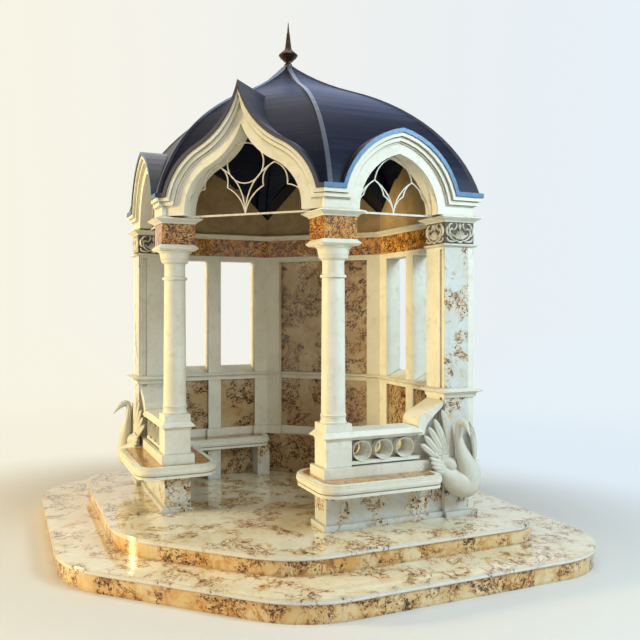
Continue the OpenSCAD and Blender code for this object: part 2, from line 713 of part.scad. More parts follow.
// Radius of the hollow curve that leaves the haunch smoothly and ends on the middle line at the tip
function hollow_r(end, a) = -(end * end) / (2 * end * [cos(a), sin(a)]);
function keel_half(d) = let (a = haunch_turn - d * turn_drop, r1 = haunch_r + d,
    r2 = hollow_r([haunch_x, haunch_z - spring_z - keel_h - tip_growth * d] + r1 * [cos(a), sin(a)], a),
    c = [haunch_x, haunch_z] + (r1 + r2) * [cos(a), sin(a)]) concat(
    arc([haunch_x, haunch_z], r1, 0, a, 10), arc(c, r2, a + 180, 180 + acos(min(1, c[0] / r2)), 10));
function keel_arch(d) = let (h = keel_half(d), n = len(h)) concat(
    [[haunch_x + haunch_r + d, spring_z]], h, [for (i = [n - 2 : -1 : 0]) [-h[i][0], h[i][1]]],
    [[-haunch_x - haunch_r - d, spring_z]]);
// Arch outline with straight legs down to height z
function legs(points, z) = concat([[points[0][0], z]], points, [[points[len(points) - 1][0], z]]);
module side_shape(d, z = spring_z) {
    polygon(legs(side_arch(d), z));
}
module front_shape(d, z = spring_z) {
    polygon(legs(keel_arch(d), z));
}
module arch_shape(is_side, d, z = spring_z) {
    if (is_side) side_shape(d, z);
    else front_shape(d, z);
}
// Stands an elevation drawn in x and z up as a slab between depths y0 and y1
module elevation(y0, y1) {
    translate([0, y1, 0]) rotate([90, 0, 0]) linear_extrude(height = y1 - y0) children();
}
// Bands of the archivolt: start and end as shares of the ring's width, the same as shares of the
// stone's height at the eave, and how far the band stands out
arch_bands = [[0.52, 1, 0.5, 1, 0.1], [0.52, 0.56, 0.5, 0.535, 0.24], [0.6, 0.785, 0.555, 0.77, 0.56],
    [0.82, 1, 0.795, 1, 1]];
module arch_band(x0, x1, is_side, b) {
    h = stone_eave - spring_z;
    difference() {
        union() {
            arch_shape(is_side, ring_w * b[1]);
            translate([x0, spring_z]) square([x1 - x0, h * b[3]]);
        }
        arch_shape(is_side, ring_w * b[0], spring_z - 1);
        if (b[2] > 0) translate([x0 - 1, spring_z - 1]) square([x1 - x0 + 2, h * b[2] + 1]);
    }
}
// Arch from its plain face, face behind the wall face, back to the depth end
module arch_body(x0, x1, end, is_side) {
    face = is_side ? side_face : front_face;
    elevation(face, end) arch_band(x0, x1, is_side, [0, 1, 0, 1]);
    for (b = arch_bands)
        elevation(face - crown_out * b[4], face) arch_band(x0, x1, is_side, b);
}
arch_over = 200;
module right_front_arch() {
    color("ivory") in_side_sector() right_wall_frame()
        arch_body(wall_x0 - arch_over, half_w + crown_out, side_face + arch_t, true);
}
module front_arch() {
    color("ivory") in_front_sector() front_frame()
        arch_body(-front_half - arch_over, front_half + arch_over, front_face + arch_t, false);
}
// Cornice inside and outside a closed wall, under its arch
module wall_cornice(x0, x1, t) {
    mould = cornice_profile(cornice_z, spring_z - cornice_z, cornice_out);
    profile = concat([[-1, cornice_z]], mould, [[-1, spring_z]]);
    block([x0, 0, cornice_z], [x1, t, spring_z]);
    run_x(profile, x0, x1);
    translate([0, t, 0]) mirror([0, 1, 0]) run_x(profile, x0, x1);
}
tympanum_t = 30;
// Lining that covers the stone above the plates
lining_t = 12;
lining_grow = ring_w - 2;
module right_back_arch() {
    color("ivory") back_copy() in_side_sector() right_wall_frame() {
        arch_body(wall_x0 - arch_over, half_w + crown_out, wall_t - tympanum_t - lining_t, true);
        difference() {
            wall_cornice(wall_x0 - arch_over, opening_x1, wall_t);
            translate([pier_mid, block_w / 2, 0]) cube([block_w + 2 * cornice_out,
                block_w + 2 * cornice_out, 2 * spring_z + 1], center = true);
        }
    }
}
module back_arch() {
    x1 = front_half + arch_over;
    color("ivory") back_copy() in_front_sector() front_frame() {
        arch_body(-x1, x1, back_wall_t - tympanum_t - lining_t, false);
        wall_cornice(-back_half, back_half, back_wall_t);
    }
}
gable_h = 180;
// Gable-shaped plate about x, with 45 degree slopes that start gable_h above the springing, half away
module gable(x, half) {
    polygon([[x - half, spring_z], [x + half, spring_z], [x + half, spring_z + gable_h],
        [x, spring_z + gable_h + half], [x - half, spring_z + gable_h]]);
}
plate_gap = 12;
// Plates on the inside of the three closed arches, each over a thin lining with the arch's outline
module tympana() {
    side_top = flank_height(half_w - wall_t + tympanum_t) - plate_gap;
    color("dimgray") {
        for (side = [0, 1]) mirror([side, 0, 0]) back_copy() in_side_sector() right_wall_frame() {
            elevation(wall_t - tympanum_t, wall_t) intersection() {
                gable(opening_mid, opening_mid - wall_x0);
                union() {
                    side_shape(lining_grow);
                    translate([wall_x0, spring_z]) square([inner_side - wall_x0, side_top - spring_z]);
                }
                translate([wall_x0, spring_z]) square([inner_side - wall_x0, far]);
            }
            elevation(wall_t - tympanum_t - lining_t, wall_t - tympanum_t) intersection() {
                side_shape(lining_grow);
                translate([wall_x0, spring_z]) square([inner_side - wall_x0, far]);
            }
        }
        back_copy() in_front_sector() front_frame() {
            elevation(back_wall_t - tympanum_t, back_wall_t) gable(0, inner_corner[0]);
            elevation(back_wall_t - tympanum_t - lining_t, back_wall_t - tympanum_t) front_shape(lining_grow);
        }
    }
}

// ================= tracery =================
tie_h = 18;
tracery_y = 120;
// Bar along a chain of points
module bar(points) {
    for (i = [0 : len(points) - 2]) {
        a = points[i];
        d = points[i + 1] - a;
        translate(a) rotate(atan2(d[1], d[0])) translate([-bar_t / 4, -bar_t / 2])
            square([norm(d) + bar_t / 2, bar_t]);
    }
}
// Curve between two points that bulges to its left
function lean(from, to, bulge) = let (d = to - from, n = [-d[1], d[0]] / norm(d))
    [for (i = [0 : 8]) let (s = i / 8) from + d * s + n * bulge * 4 * s * (1 - s)];
module mirrored_about(x) {
    children();
    translate([2 * x, 0]) mirror([1, 0]) children();
}
module right_tracery() {
    foot = [opening_mid, spring_z];
    head = foot + [side_half_w * 0.48, 302];
    cusp_in = foot + [side_half_w * 0.25, 162];
    cusp_out = foot + [side_half_w * 0.76, 158];
    end = foot + [side_half_w * 0.94, 0];
    crown = foot + [0, 530];
    color("white") right_wall_frame() elevation(tracery_y, tracery_y + bar_t) {
        translate([opening_x0 + cornice_out, spring_z - tie_h])
            square([opening_x1 - opening_x0 - 2 * cornice_out, tie_h]);
        intersection() {
            mirrored_about(opening_mid) {
                bar(lean(foot, head, 44));
                bar(lean(foot, cusp_in, 24));
                bar(lean(cusp_in, head, 20));
                bar(lean(head, end, 46));
                bar(lean(head, cusp_out, 20));
                bar(lean(cusp_out, end, 22));
                bar(lean(head, crown, -46));
            }
            side_shape(0);
        }
    }
}
module front_tracery() {
    foot = [0, spring_z];
    head = foot + [front_half_w * 0.487, 470];
    cusp_in = foot + [front_half_w * 0.31, 254];
    cusp_out = foot + [front_half_w * 0.71, 254];
    end = foot + [front_half_w + 6, 110];
    ring_c = foot + [0, 478];
    ring_r = front_half_w * 0.31;
    // the long bars lean in until they touch the ring, at this share of their length
    long = head - foot;
    at = (ring_c - foot) * long / (long * long);
    to_ring = (norm(foot + at * long - ring_c) - ring_r) / (4 * at * (1 - at));
    color("white") front_frame() elevation(tracery_y, tracery_y + bar_t) {
        translate([-front_half_w - 60, spring_z - tie_h]) square([2 * front_half_w + 120, tie_h]);
        intersection() {
            union() {
                translate(ring_c) difference() {
                    circle(r = ring_r + bar_t / 2, $fn = fine);
                    circle(r = ring_r - bar_t / 2, $fn = fine);
                }
                mirrored_about(0) {
                    bar(lean(foot, head, to_ring));
                    bar(lean(foot, cusp_in, 38));
                    bar(lean(cusp_in, head, 48));
                    bar(lean(head, cusp_out, 48));
                    bar(lean(cusp_out, end, 34));
                }
            }
            front_shape(0);
        }
    }
}

// ================= dome =================
// The flank bulges from a centre flank_drop below the eave and passes eave_out outside the walls there
flank_drop = 383;
eave_out = 30;
front_set = 10;
flank_c = [half_w + eave_out - sqrt(flank_r * flank_r - flank_drop * flank_drop), eave_z - flank_drop];
tip_turn = 65;
tip_c = flank_c + (flank_r + tip_r) * [cos(tip_turn), sin(tip_turn)];
depth_share = (cut_y - front_set) / (half_w + eave_out);
flank_a0 = asin(flank_drop / flank_r);
dome_top = tip_c[1] - sqrt(tip_r * tip_r - tip_c[0] * tip_c[0]);
dome_steps = 14;
// Height at which the inside of the flank is x away from the axis
function flank_height(x) = flank_c[1] + sqrt(pow(flank_r - dome_t, 2) - pow(x - flank_c[0], 2));
// Half profile of the dome: the flank, then the hollow curve to the tip; t is the depth below the skin
function dome_half(t) = let (r = tip_r + t, a0 = tip_turn + 180, a1 = 180 + acos(tip_c[0] / r)) concat(
    arc(flank_c, flank_r - t, flank_a0 - 1, tip_turn, dome_steps),
    [for (i = [1 : 6]) let (a = a0 + (a1 - a0) * i / 6) tip_c + r * [cos(a), sin(a)]]);
module dome_slice(t, share) {
    h = dome_half(t);
    n = len(h);
    points = concat([for (p = h) [p[0] * share, p[1]]],
        [for (i = [n - 2 : -1 : 0]) [-h[i][0] * share, h[i][1]]]);
    rotate([90, 0, 0]) translate([0, 0, -far]) linear_extrude(height = 2 * far) polygon(points);
}
module dome_body(t) {
    intersection() {
        rotate([0, 0, 90]) dome_slice(t, depth_share);
        rotate([0, 0, 45]) dome_slice(t, 1);
        rotate([0, 0, -45]) dome_slice(t, 1);
    }
}
module above(z) {
    intersection() {
        children();
        block([-far, -far, z], [far, far, z + far]);
    }
}
// Angle of each hip, and its distance from the axis for each unit of the profile
hips = let (x = root2 - depth_share, a = atan2(depth_share, x), r = norm([x, depth_share]))
    [[0, root2], [180, root2], [a, r], [-a, r], [180 - a, r], [180 + a, r]];
// Upright blade along a hip, of width w, between two [distance, height] outlines
module hip_blade(hip, w, outer, inner) {
    rotate([0, 0, hip[0]]) rotate([90, 0, 0]) translate([0, 0, -w / 2]) linear_extrude(height = w)
        polygon(concat([for (p = outer) [p[0] * hip[1], p[1]]],
            [for (i = [len(inner) - 1 : -1 : 0]) [inner[i][0] * hip[1], inner[i][1]]]));
}
module four_sides() {
    for (sx = [0, 1]) for (sy = [0, 1]) mirror([sx, 0, 0]) mirror([0, sy, 0]) children();
}
module front_and_back() {
    children();
    back_copy() children();
}
side_run_gap = 300;
front_run_gap = 200;
// The arch outlines run from out in front of the arch faces nearly to the middle, above height z
module roof_runs(grow, out, z) {
    four_sides() rotate([0, 0, 45]) translate([0, -half_w, 0])
        elevation(side_face - out, half_w - side_run_gap) intersection() {
            side_shape(grow);
            translate([-far, z]) square([2 * far, far]);
        }
    front_and_back() translate([0, -cut_y, 0])
        elevation(front_face - out, cut_y - front_run_gap) intersection() {
            front_shape(grow);
            translate([-far, z]) square([2 * far, far]);
        }
}
rafter_w = 90;
rafter_in = 15;
module dome() {
    color("midnightblue") translate([0, 0, floor_z]) difference() {
        above(eave_z) union() {
            difference() {
                dome_body(0);
                dome_body(dome_t);
            }
            for (h = hips)
                hip_blade(h, rafter_w, dome_half(dome_t - rafter_in), dome_half(dome_t + rafter_d));
        }
        roof_runs(ring_w, crown_out, stone_eave);
    }
}
metal_over = 12;
metal_out = crown_out + metal_over;
eave_in = 35;
// Metal edge that lies on the stone, outside the arches' rings
module eave_edge(is_side) {
    face = is_side ? side_face : front_face;
    elevation(face - metal_out, face + eave_in) difference() {
        translate([-far, stone_eave]) square([2 * far, edge_h]);
        arch_shape(is_side, ring_w);
    }
}
module arch_roofs() {
    color("darkslateblue") translate([0, 0, floor_z]) {
        four_sides() in_side_sector() rotate([0, 0, 45]) translate([0, -half_w, 0]) eave_edge(true);
        front_and_back() in_front_sector() translate([0, -cut_y, 0]) eave_edge(false);
        difference() {
            roof_runs(ring_w + metal_t, metal_out, eave_z);
            roof_runs(ring_w, metal_out + 1, stone_eave);
            above(eave_z) dome_body(0);
        }
    }
}
rib_w = 44;
rib_out = 16;
rib_sink = 60;
finial_foot = 42;
module dome_ribs() {
    color("slategray") translate([0, 0, floor_z]) difference() {
        above(eave_z) for (h = hips)
            hip_blade(h, rib_w, concat([for (p = dome_half(0)) p + [rib_out / h[1], 0]], [[0, dome_top + 4]]),
                concat([for (p = dome_half(rib_sink)) p], [[0, dome_top - rib_sink]]));
        dome_body(0);
        roof_runs(ring_w + metal_t, metal_out, stone_eave);
        translate([0, 0, dome_top - rib_sink]) cylinder(r = finial_foot, h = 4 * rib_sink, $fn = fine);
    }
}
// Half profile of the finial as [radius, height above the tip of the dome]
finial_profile = let (r = ball_d / 2, f = finial_foot, mid = 94) [
    [0, -40], [f, -40], [f, -4], [26, 12], [26, 28],
    [r * 0.45, 28], [r * 0.7, mid - 38], [r * 0.84, mid - 28], [r * 0.82, mid - 22], [r * 0.97, mid - 8],
    [r, mid], [r * 0.96, mid + 8], [r * 0.86, mid + 12], [r * 0.84, mid + 18], [r * 0.68, mid + 34],
    [r * 0.42, mid + 58], [r * 0.4, mid + 66], [36, mid + 70], [15, finial_h * 0.75],
    [12, finial_h * 0.77], [3, finial_h], [0, finial_h]];
module finial() {
    color("saddlebrown") translate([0, 0, floor_z]) difference() {
        translate([0, 0, dome_top]) rotate_extrude($fn = fine) polygon(finial_profile);
        dome_body(0);
    }
}

module left_low_wall() { left_copy() right_low_wall(); }
module left_bench() { left_copy() right_bench(); }
module left_bench_top() { left_copy() right_bench_top(); }
module left_bench_legs() { left_copy() right_bench_legs(); }
module left_pedestal() { left_copy() right_pedestal(); }
module left_column() { left_copy() right_column(); }
module left_column_frieze() { left_copy() right_column_frieze(); }
module left_column_cornice() { left_copy() right_column_cornice(); }
module left_balustrade() { left_copy() right_balustrade(); }
module left_pier() { left_copy() right_pier(); }
module left_pier_facing() { left_copy() right_pier_facing(); }
module left_pier_frieze() { left_copy() right_pier_frieze(); }
module left_swan() { left_copy() right_swan(); }
module left_back_wall() { left_copy() right_back_wall(); }
module left_front_arch() { left_copy() right_front_arch(); }
module left_back_arch() { left_copy() right_back_arch(); }
module left_tracery() { left_copy() right_tracery(); }

lower_step();
lower_tread();
upper_step();
floor_slab();
left_low_wall();
right_low_wall();
left_bench();
right_bench();
left_bench_top();
right_bench_top();
left_bench_legs();
right_bench_legs();
left_pedestal();
right_pedestal();
left_column();
right_column();
left_column_frieze();
right_column_frieze();
left_column_cornice();
right_column_cornice();
left_balustrade();
right_balustrade();
left_pier();
right_pier();
left_pier_facing();
right_pier_facing();
left_pier_frieze();
right_pier_frieze();
left_swan();
right_swan();
left_back_wall();
right_back_wall();
back_wall();
wall_panels();
back_friezes();
front_arch();
left_front_arch();
right_front_arch();
back_arch();
left_back_arch();
right_back_arch();
tympana();
front_tracery();
left_tracery();
right_tracery();
dome();
dome_ribs();
arch_roofs();
finial();
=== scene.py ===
"""Garden gazebo: finishes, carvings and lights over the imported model. Metres, Z up, front opening at -Y."""
import json
import math

import bmesh
import bpy
import numpy as np
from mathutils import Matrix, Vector


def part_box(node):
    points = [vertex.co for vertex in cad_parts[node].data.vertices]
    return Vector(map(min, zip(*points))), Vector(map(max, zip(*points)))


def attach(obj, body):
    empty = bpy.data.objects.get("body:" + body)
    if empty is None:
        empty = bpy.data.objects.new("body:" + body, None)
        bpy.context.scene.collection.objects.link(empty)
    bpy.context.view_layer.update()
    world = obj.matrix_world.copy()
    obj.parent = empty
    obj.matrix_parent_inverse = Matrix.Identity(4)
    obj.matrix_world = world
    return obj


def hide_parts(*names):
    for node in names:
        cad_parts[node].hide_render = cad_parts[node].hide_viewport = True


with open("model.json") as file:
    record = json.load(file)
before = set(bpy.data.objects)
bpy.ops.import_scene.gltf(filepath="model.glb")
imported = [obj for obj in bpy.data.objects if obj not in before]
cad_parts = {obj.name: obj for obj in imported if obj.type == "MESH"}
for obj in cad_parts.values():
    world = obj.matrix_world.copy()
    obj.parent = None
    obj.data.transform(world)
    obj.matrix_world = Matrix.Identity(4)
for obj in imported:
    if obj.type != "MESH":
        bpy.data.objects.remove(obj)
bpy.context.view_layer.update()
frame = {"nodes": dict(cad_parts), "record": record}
NODES = frame["nodes"]
scene = bpy.context.scene
ROOT2 = math.sqrt(2)
UP = (0, 0, 1)
FRONT_BACK = (0, 1, 0)
SIDE_WALLS = ((1 / ROOT2, -1 / ROOT2, 0), (1 / ROOT2, 1 / ROOT2, 0))   # directions the side walls face along

# The camera was fitted to the photograph
CAMERA_PLACE = (3.188, -7.227, 2.370)
CAMERA_TURN = 0.3721
LENS_MM = 41.21
SENSOR_MM = 36
SHIFT_Y = -0.0182
FAR_CLIP = 200
RIGHT_WAY = (math.cos(CAMERA_TURN), math.sin(CAMERA_TURN), 0.0)        # level, to the right in the main view

# Name, place, aim, diameter, level and colour. The level is the brightness of a white surface at the aim that
# faces the lamp
LAMPS = [
    ("warm_left", (-13.8, -7.8, 4.2), (0, 0, 2.4), 3.0, 1.16, (1.0, 0.77, 0.37)),
    ("cool_right", (8.6, -2.0, 6.8), (0, 0, 2.0), 4.0, 0.83, (0.69, 0.90, 1.0)),
    ("front", (3.5, -9.0, 5.5), (0, 0, 1.5), 6.0, 0.15, (1.0, 0.92, 0.80)),
    ("top", (0, -1.5, 10), (0, 0, 0), 7.0, 0.29, (1.0, 0.94, 0.85)),
]
AMBIENT = (1.0, 0.85, 0.60, 1)
AMBIENT_LEVEL = 0.19

# The backdrop's colour from the left of the main view to its right
SKY = [(0.0, (0.940, 0.905, 0.780)), (0.35, (0.895, 0.890, 0.840)),
       (0.65, (0.835, 0.870, 0.880)), (1.0, (0.800, 0.880, 0.940))]
SKY_SPREAD = 1.25
FLOOR_COLOR = (0.64, 0.64, 0.635, 1)
FLOOR_ROUGH = 0.6
FLOOR_TINT = 0.35
FLOOR_HALF = 60
OBJECT_HALF = (3.1, 2.25)             # half of the lower step's length and width
FADE_RANGE = (1.05, 2.0)              # in times OBJECT_HALF: where the lit floor gives way to the glow
GLOW_RANGE = (2.0, 6.0)               # and where the glow takes the sky's own colour

DARK_GRAIN = (0.028, 0.011, 0.006)
# The noise values from which veins, stains and grains gather in a marble with none of them, and how far these
# values fall in a marble that has them all over
VEINS_FROM, STAINS_FROM, SPECKS_FROM, GATHER_FALL = 0.66, 0.68, 0.64, 0.30
GRAINS_PER_METRE = 46
SMALLEST_GRAIN, GRAIN_GROWTH, GRAIN_SPREAD = 0.02, 0.16, 0.44         # in cells
ROOF_GAUGE = (1.6, 1.6, 75)           # streaks and courses of the roof are long in X and Y and thin in Z
ROOF_COURSES = (0.9, 0.9, 14)
DUST_AND_SHEEN_PALER = 6                        # times the roof's pale streaks, for its dust and painted sheen where it lies nearly level
INNER_SHADE_BACK = 1.0331                  # the near-black painted shade on the gables' inner faces starts this far behind the plan's centre
INNER_SHADE_SIDE = 1.2531                  # and this far out towards the two back side walls
OUTER_FACE = 0.6                      # how squarely a face looks outwards to count as an outer one
MERGE_REACH = 2e-5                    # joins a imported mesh's split corners
SHARP_NODES = 32                      # degrees from which an edge stays sharp
SHARP_SWANS = 50
SHARP_CARVING = 48


# ---------------------------------------------------------------- camera, light and floor
def make_camera():
    cam = bpy.data.objects.new("camera", bpy.data.cameras.new("camera"))
    scene.collection.objects.link(cam)
    cam.location = CAMERA_PLACE
    cam.rotation_euler = (math.radians(90), 0, CAMERA_TURN)
    cam.data.lens = LENS_MM
    cam.data.sensor_width = SENSOR_MM
    cam.data.shift_y = SHIFT_Y
    cam.data.clip_end = FAR_CLIP
    scene.camera = cam


def area_light(name, place, aim, size, level, color):
    beam = Vector(aim) - Vector(place)
    data = bpy.data.lights.new(name, "AREA")
    data.shape = "DISK"
    data.size = size
    data.energy = level * math.pi ** 2 * beam.length ** 2
    data.color = color
    lamp = bpy.data.objects.new(name, data)
    scene.collection.objects.link(lamp)
    lamp.location = place
    lamp.rotation_euler = beam.to_track_quat("-Z", "Y").to_euler()


def pale_sky(g, way):
    """The backdrop's colour by direction: warm on the left of the main view, cool on the right."""
    side = g.math("MULTIPLY", g.dot(way, RIGHT_WAY), SKY_SPREAD)
    return g.ramp(g.math("ADD", side, 0.5, clamp=True), SKY)


def seen(g):
    """1 for the rays that show the backdrop: camera, glossy and transmission."""
    path = g.node("LightPath").outputs
    both = g.math("MAXIMUM", path["Is Camera Ray"], path["Is Glossy Ray"])
    return g.math("MAXIMUM", both, path["Is Transmission Ray"])


def make_world():
    world = bpy.data.worlds.new("studio")
    scene.world = world
    world.use_nodes = True
    g = Graph.over(world.node_tree)
    way = g.node("TexCoord").outputs["Generated"]
    show = g.node("Background", {"Color": pale_sky(g, way), "Strength": 1.0}).outputs[0]
    light = g.node("Background", {"Color": AMBIENT, "Strength": AMBIENT_LEVEL}).outputs[0]
    mix = g.node("MixShader", {0: seen(g), 1: light, 2: show}).outputs[0]
    g.node("OutputWorld", {"Surface": mix})


def make_stage():
    """A pale floor that keeps the object's shadow and fades into the backdrop's colour away from it."""
    mat = bpy.data.materials.new("studio_floor")
    mat.use_nodes = True
    g = Graph.over(mat.node_tree)
    place = g.node("TexCoord").outputs["Object"]
    near = g.node("BsdfPrincipled", {"Base Color": FLOOR_COLOR, "Roughness": FLOOR_ROUGH}).outputs[0]
    way = g.node("VectorMath", {0: place}, operation="NORMALIZE").outputs[0]
    tint = g.mix(FLOOR_TINT, pale_sky(g, way), pale_sky(g, way), "MULTIPLY")
    shrink = (1 / OBJECT_HALF[0], 1 / OBJECT_HALF[1], 0)
    squashed = g.node("VectorMath", {0: place, 1: shrink}, operation="MULTIPLY").outputs[0]
    away = g.node("VectorMath", {0: squashed}, operation="LENGTH").outputs["Value"]
    color = g.mix(g.band(away, *GLOW_RANGE), tint, pale_sky(g, way))
    glow = g.node("Emission", {"Color": color, "Strength": 1.0}).outputs[0]
    fade = g.math("MULTIPLY", g.band(away, *FADE_RANGE), seen(g))
    mix = g.node("MixShader", {0: fade, 1: near, 2: glow}).outputs[0]
    g.node("OutputMaterial", {"Surface": mix})
    h = FLOOR_HALF
    me = bpy.data.meshes.new("studio_floor")
    me.from_pydata([(-h, -h, 0), (h, -h, 0), (h, h, 0), (-h, h, 0)], [], [(0, 1, 2, 3)])
    floor = bpy.data.objects.new("studio_floor", me)
    floor.data.materials.append(mat)
    scene.collection.objects.link(floor)


# ---------------------------------------------------------------- materials
class Graph:
    """A short way to build a material's nodes."""

    def __init__(self, name):
        self.mat = bpy.data.materials.new(name)
        self.mat.use_nodes = True
        self.nt = self.mat.node_tree
        self.bsdf = self.nt.nodes["Principled BSDF"]
        self.coord = self.nt.nodes.new("ShaderNodeTexCoord").outputs["Object"]

    @classmethod
    def over(cls, tree):
        """A graph over an existing tree, emptied first."""
        g = cls.__new__(cls)
        g.nt = tree
        tree.nodes.clear()
        return g

    def node(self, kind, values=None, **settings):
        n = self.nt.nodes.new("ShaderNode" + kind)
        for k, v in settings.items():
            setattr(n, k, v)
        for k, v in (values or {}).items():
            self.put(n.inputs[k], v)
        return n

    def put(self, socket, value):
        if isinstance(value, bpy.types.NodeSocket):
            self.nt.links.new(value, socket)
        else:
            socket.default_value = value

    def math(self, op, a, b=0.0, clamp=False):
        n = self.node("Math", operation=op, use_clamp=clamp)
        self.put(n.inputs[0], a)
        self.put(n.inputs[1], b)
        return n.outputs[0]

    def times(self, *factors):
        out = factors[0]
        for f in factors[1:]:
            out = self.math("MULTIPLY", out, f)
        return out

    def less_one(self, value):
        return self.math("SUBTRACT", 1.0, value)

    def larger(self, a, b):
        return self.math("MAXIMUM", a, b)

    def dot(self, a, b):
        return self.node("VectorMath", {0: a, 1: b}, operation="DOT_PRODUCT").outputs["Value"]

    def normal(self):
        return self.node("NewGeometry").outputs["True Normal"]

    def moved(self, shift):
        """The object's own coordinates, moved so that each material has its own part of the pattern."""
        return self.node("Mapping", {"Vector": self.coord, "Location": shift}).outputs[0]

    def stretched(self, vector, scale):
        return self.node("Mapping", {"Vector": vector, "Scale": scale}).outputs[0]

    def noise(self, vector, scale, detail=4, rough=0.55):
        values = {"Vector": vector, "Scale": scale, "Detail": detail, "Roughness": rough}
        return self.node("TexNoise", values).outputs["Fac"]

    def ridge(self, vector, scale, detail, rough):
        """0 along the wavering lines where a noise passes its middle value, rising to both sides."""
        return self.math("ABSOLUTE", self.math("SUBTRACT", self.noise(vector, scale, detail, rough), 0.5))

    def ramp(self, fac, stops):
        n = self.node("ValToRGB", {"Fac": fac})
        elements = n.color_ramp.elements
        while len(elements) < len(stops):
            elements.new(0.5)
        for e, (pos, col) in zip(elements, stops):
            e.position = pos
            e.color = (*col, 1)
        return n.outputs["Color"]

    def band(self, fac, low, high):
        """0 at low, 1 at high, eased between; low may be the larger."""
        if low > high:
            return self.less_one(self.band(fac, high, low))
        values = {"Value": fac, "From Min": low, "From Max": high}
        return self.node("MapRange", values, interpolation_type="SMOOTHSTEP").outputs["Result"]

    def mix(self, fac, a, b, mode="MIX"):
        n = self.node("Mix", data_type="RGBA", blend_type=mode)
        self.put(n.inputs["Factor"], fac)
        for s, v in ((n.inputs[6], a), (n.inputs[7], b)):
            self.put(s, v if isinstance(v, bpy.types.NodeSocket) else (*v, 1))
        return n.outputs[2]

    def warp(self, vector, scale, amount):
        """The vector pushed about by a noise of this scale, by up to about amount metres."""
        n = self.node("TexNoise", {"Vector": vector, "Scale": scale, "Detail": 3})
        values = {0: n.outputs["Color"], 1: (0.5, 0.5, 0.5)}
        centred = self.node("VectorMath", values, operation="SUBTRACT")
        scaled = self.node("VectorMath", {0: centred.outputs[0], "Scale": amount * 2}, operation="SCALE")
        return self.node("VectorMath", {0: vector, 1: scaled.outputs[0]}, operation="ADD").outputs[0]

    def cells(self, vector, scale):
        """Distance to the nearest cell edge, in cells."""
        n = self.node("TexVoronoi", {"Vector": vector, "Scale": scale}, feature="DISTANCE_TO_EDGE")
        return n.outputs["Distance"]

    def corner_shade(self, color, reach, depth, tint=(0.36, 0.27, 0.17)):
        """Painted shade: the colour darkened and browned towards the tint where ambient occlusion finds
        corners and creases.
        """
        open_sky = self.node("AmbientOcclusion", {"Distance": reach}, samples=6).outputs["AO"]
        painted_shade = self.math("MULTIPLY", self.band(open_sky, 0.85, 0.25), depth)
        return self.mix(painted_shade, color, self.mix(1.0, color, tint, "MULTIPLY"))

    def bump(self, height, strength, distance):
        n = self.node("Bump", {"Strength": strength, "Distance": distance, "Height": height})
        self.put(self.bsdf.inputs["Normal"], n.outputs[0])

    def finish(self, color, rough, coat=0.0, coat_rough=0.05, metallic=0.0, specular=0.5):
        b = self.bsdf.inputs
        self.put(b["Base Color"], color)
        self.put(b["Roughness"], rough)
        b["Coat Weight"].default_value = coat
        b["Coat Roughness"].default_value = coat_rough
        self.put(b["Metallic"], metallic)
        b["Specular IOR Level"].default_value = specular
        return self.mat


def shaded(color, share):
    return tuple(share * c for c in color)


